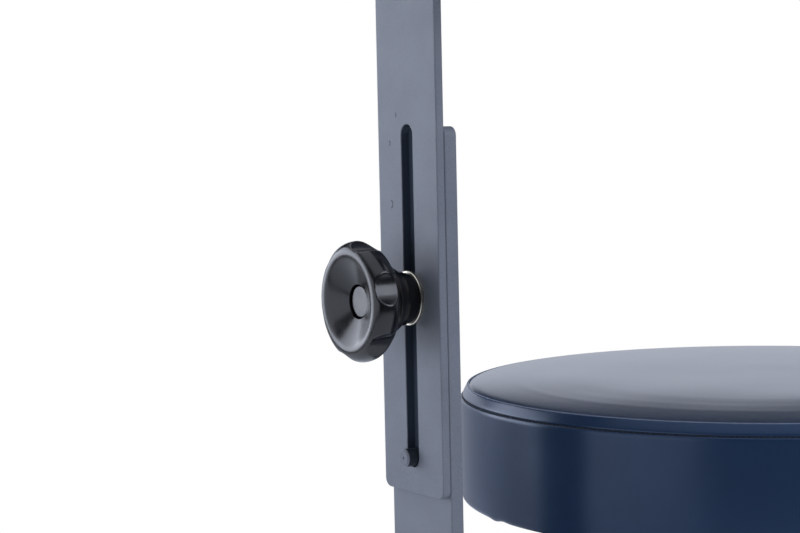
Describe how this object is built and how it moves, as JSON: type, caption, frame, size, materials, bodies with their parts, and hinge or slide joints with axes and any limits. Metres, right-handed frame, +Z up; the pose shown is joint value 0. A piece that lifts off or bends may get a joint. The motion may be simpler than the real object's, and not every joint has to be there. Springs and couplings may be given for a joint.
{
  "type": "medical stool with armrest",
  "caption": "Wheeled medical stool: round upholstered seat on a gas lift, with a padded armrest that slides on a slotted upright and is clamped by a hand knob.",
  "frame": {"origin": "floor level on the column axis, at the middle of the footprint", "axes": "+Z up, -X towards the armrest upright, -Y towards the stool's front"},
  "size_m": [0.597, 0.5904, 0.837],
  "materials": {
    "grey_enamel": "fine metallic grey powder coat, satin",
    "black_enamel": "satin black paint",
    "zinc_steel": "zinc-plated steel",
    "chromed_steel": "ground and chromed",
    "cast_aluminium": "polished casting",
    "black_gloss_plastic": "glossy moulded thermoset",
    "black_matte_plastic": "fine-grained moulding",
    "navy_vinyl": "satin upholstery vinyl",
    "foam": "open-cell upholstery foam",
    "plywood": "birch plywood",
    "wheel_tread": "dark soft tread"
  },
  "bodies": {
    "base": {"star_base": "cast_aluminium", "castor_stems": "zinc_steel", "stand_tube": "black_enamel", "guide_bush": "black_matte_plastic", "thrust_race_lower": "zinc_steel", "thrust_balls": "zinc_steel"},
    "lift_rod": {"piston_rod": "chromed_steel", "piston": "cast_aluminium", "thrust_race_upper": "zinc_steel", "rod_clip": "zinc_steel"},
    "seat": {"pressure_tube": "chromed_steel", "rod_gland": "cast_aluminium", "taper_socket": "black_enamel", "seat_plate": "black_enamel", "lever_pivot_pin": "zinc_steel", "seat_board": "plywood", "seat_foam": "foam", "seat_cover": "navy_vinyl", "seat_bolts": "zinc_steel", "tee_nuts": "zinc_steel", "support_bar": "grey_enamel", "bar_bolts": "zinc_steel", "bar_nuts": "zinc_steel", "clamp_nut": "zinc_steel", "guide_pin": "grey_enamel"},
    "release_pin": {"release_pin": "zinc_steel"},
    "release_lever": {"release_lever": "black_enamel", "lever_grip": "black_matte_plastic"},
    "armrest": {"slotted_bar": "grey_enamel", "arm_board": "plywood", "arm_foam": "foam", "arm_cover": "navy_vinyl", "arm_screws": "zinc_steel"},
    "washer": {"clamp_washer": "zinc_steel"},
    "knob": {"knob_body": "black_gloss_plastic", "knob_cap": "black_gloss_plastic", "knob_stud": "zinc_steel"},
    "castor_1": {"castor_1_hood": "black_matte_plastic", "castor_1_axle": "zinc_steel"},
    "castor_1_wheel_left": {"castor_1_wheel_left": "wheel_tread"},
    "castor_1_wheel_right": {"castor_1_wheel_right": "wheel_tread"},
    "castor_2": {"castor_2_hood": "black_matte_plastic", "castor_2_axle": "zinc_steel"},
    "castor_2_wheel_left": {"castor_2_wheel_left": "wheel_tread"},
    "castor_2_wheel_right": {"castor_2_wheel_right": "wheel_tread"},
    "castor_3": {"castor_3_hood": "black_matte_plastic", "castor_3_axle": "zinc_steel"},
    "castor_3_wheel_left": {"castor_3_wheel_left": "wheel_tread"},
    "castor_3_wheel_right": {"castor_3_wheel_right": "wheel_tread"},
    "castor_4": {"castor_4_hood": "black_matte_plastic", "castor_4_axle": "zinc_steel"},
    "castor_4_wheel_left": {"castor_4_wheel_left": "wheel_tread"},
    "castor_4_wheel_right": {"castor_4_wheel_right": "wheel_tread"},
    "castor_5": {"castor_5_hood": "black_matte_plastic", "castor_5_axle": "zinc_steel"},
    "castor_5_wheel_left": {"castor_5_wheel_left": "wheel_tread"},
    "castor_5_wheel_right": {"castor_5_wheel_right": "wheel_tread"}
  },
  "joints": [
    {"name": "seat_swivel", "type": "hinge", "parent": "base", "child": "lift_rod", "pos_m": [0, 0, 0.077], "axis": [0, 0, 1], "continuous": true},
    {"name": "seat_lift", "type": "slide", "parent": "lift_rod", "child": "seat", "axis": [0, 0, 1], "range_m": [-0.065, 0.065]},
    {"name": "lever_pull", "type": "hinge", "parent": "seat", "child": "release_lever", "pos_m": [0.02, 0, 0.44], "axis": [0, -1, 0], "range_deg": [0, 8], "stiffness_Nm_per_rad": 1.5},
    {"name": "release_press", "type": "slide", "parent": "seat", "child": "release_pin", "axis": [0, 0, -1], "range_m": [0, 0.003]},
    {"name": "armrest_height", "type": "slide", "parent": "seat", "child": "armrest", "axis": [0, 0, 1], "range_m": [-0.088, 0]},
    {"name": "knob_back_off", "type": "slide", "parent": "seat", "child": "washer", "axis": [-1, 0, 0], "range_m": [0, 0.003]},
    {"name": "knob_turn", "type": "hinge", "parent": "washer", "child": "knob", "pos_m": [-0.257, 0, 0.586], "axis": [-1, 0, 0], "range_deg": [0, 720]},
    {"name": "castor_1_swivel", "type": "hinge", "parent": "base", "child": "castor_1", "pos_m": [0.275, 0, 0.05], "axis": [0, 0, 1], "continuous": true},
    {"name": "castor_1_left_roll", "type": "hinge", "parent": "castor_1", "child": "castor_1_wheel_left", "pos_m": [0.275, 0.02, 0.025], "axis": [-1, 0, 0], "continuous": true},
    {"name": "castor_1_right_roll", "type": "hinge", "parent": "castor_1", "child": "castor_1_wheel_right", "pos_m": [0.275, 0.02, 0.025], "axis": [-1, 0, 0], "continuous": true},
    {"name": "castor_2_swivel", "type": "hinge", "parent": "base", "child": "castor_2", "pos_m": [0.08498, 0.26154, 0.05], "axis": [0, 0, 1], "continuous": true},
    {"name": "castor_2_left_roll", "type": "hinge", "parent": "castor_2", "child": "castor_2_wheel_left", "pos_m": [0.10454, 0.2657, 0.025], "axis": [-0.2079, 0.9781, 0], "continuous": true},
    {"name": "castor_2_right_roll", "type": "hinge", "parent": "castor_2", "child": "castor_2_wheel_right", "pos_m": [0.10454, 0.2657, 0.025], "axis": [-0.2079, 0.9781, 0], "continuous": true},
    {"name": "castor_3_swivel", "type": "hinge", "parent": "base", "child": "castor_3", "pos_m": [-0.22248, 0.16164, 0.05], "axis": [0, 0, 1], "continuous": true},
    {"name": "castor_3_left_roll", "type": "hinge", "parent": "castor_3", "child": "castor_3_wheel_left", "pos_m": [-0.24061, 0.15319, 0.025], "axis": [0.4226, -0.9063, 0], "continuous": true},
    {"name": "castor_3_right_roll", "type": "hinge", "parent": "castor_3", "child": "castor_3_wheel_right", "pos_m": [-0.24061, 0.15319, 0.025], "axis": [0.4226, -0.9063, 0], "continuous": true},
    {"name": "castor_4_swivel", "type": "hinge", "parent": "base", "child": "castor_4", "pos_m": [-0.22248, -0.16164, 0.05], "axis": [0, 0, 1], "continuous": true},
    {"name": "castor_4_left_roll", "type": "hinge", "parent": "castor_4", "child": "castor_4_wheel_left", "pos_m": [-0.24061, -0.15319, 0.025], "axis": [-0.4226, -0.9063, 0], "continuous": true},
    {"name": "castor_4_right_roll", "type": "hinge", "parent": "castor_4", "child": "castor_4_wheel_right", "pos_m": [-0.24061, -0.15319, 0.025], "axis": [-0.4226, -0.9063, 0], "continuous": true},
    {"name": "castor_5_swivel", "type": "hinge", "parent": "base", "child": "castor_5", "pos_m": [0.08498, -0.26154, 0.05], "axis": [0, 0, 1], "continuous": true},
    {"name": "castor_5_left_roll", "type": "hinge", "parent": "castor_5", "child": "castor_5_wheel_left", "pos_m": [0.10454, -0.2657, 0.025], "axis": [0.2079, 0.9781, 0], "continuous": true},
    {"name": "castor_5_right_roll", "type": "hinge", "parent": "castor_5", "child": "castor_5_wheel_right", "pos_m": [0.10454, -0.2657, 0.025], "axis": [0.2079, 0.9781, 0], "continuous": true}
  ],
  "couplings": [
    {"joint": "release_press", "follows": "lever_pull", "m_per_rad": 0.02},
    {"joint": "knob_back_off", "follows": "knob_turn", "m_per_rad": 0.00023873}
  ]
}
